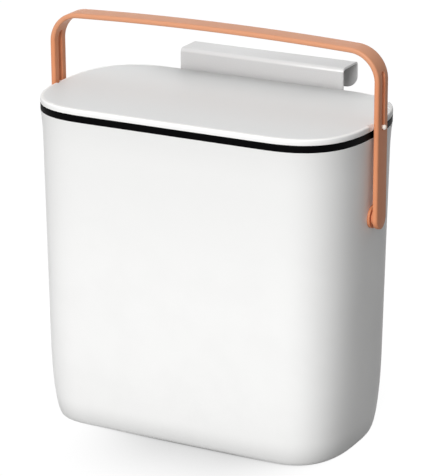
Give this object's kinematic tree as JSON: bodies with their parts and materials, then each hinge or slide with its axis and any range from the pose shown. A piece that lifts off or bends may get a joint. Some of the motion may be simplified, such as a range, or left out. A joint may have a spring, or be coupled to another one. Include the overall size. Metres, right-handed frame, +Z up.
{
  "type": "kitchen compost caddy",
  "caption": "Door-hung kitchen compost caddy: rounded bucket, bag ring, rear-hinged flat lid and a slotted strap handle that tilts with the lid.",
  "frame": {"origin": "on the floor under the middle of the bucket, at the lower face of the base pad", "axes": "+X is the viewer's right when facing the front, -Y is the front, +Y is the back with the door hook, +Z is up"},
  "size_m": [0.2642, 0.1643, 0.2966],
  "materials": {
    "white_shell": "satin moulded",
    "white_lid": "fine matt moulded",
    "foot_rubber": "matt",
    "black_ring": "satin moulded",
    "orange_strap": "satin moulded",
    "pin_steel": "drawn",
    "screw_steel": "plated",
    "hook_coat": "powder coated",
    "pad_foam": "matt",
    "liner_plastic": "matt moulded",
    "seal_rubber": "soft matt",
    "pearl_pin": "polished",
    "cap_plastic": "matt moulded"
  },
  "bodies": {
    "caddy": {"bucket": "white_shell", "base_pad": "foot_rubber", "bag_ring": "black_ring", "pivot_bush_left": "orange_strap", "pivot_bush_right": "orange_strap", "hinge_pin_left": "pin_steel", "hinge_pin_right": "pin_steel", "hanger_bracket": "hook_coat", "hanger_screws": "screw_steel", "hanger_front_pad": "pad_foam", "hanger_rear_pad": "pad_foam"},
    "lid": {"lid_shell": "white_lid", "lid_liner": "liner_plastic", "lid_seal": "seal_rubber", "lid_pin_left": "pearl_pin", "lid_pin_right": "pearl_pin"},
    "handle": {"handle": "orange_strap", "pivot_cap_left": "cap_plastic", "pivot_cap_right": "cap_plastic", "pivot_screw_left": "screw_steel", "pivot_screw_right": "screw_steel"}
  },
  "joints": [
    {"name": "lid_hinge", "type": "hinge", "parent": "caddy", "child": "lid", "pos_m": [0, 0.0704, 0.2364], "axis": [-1, 0, 0], "range_deg": [0, 31]},
    {"name": "handle_swing", "type": "hinge", "parent": "caddy", "child": "handle", "pos_m": [0, 0, 0.1736], "axis": [-1, 0, 0], "range_deg": [0, 6.6]}
  ],
  "couplings": [
    {"joint": "handle_swing", "follows": "lid_hinge", "ratio": 0.211}
  ]
}
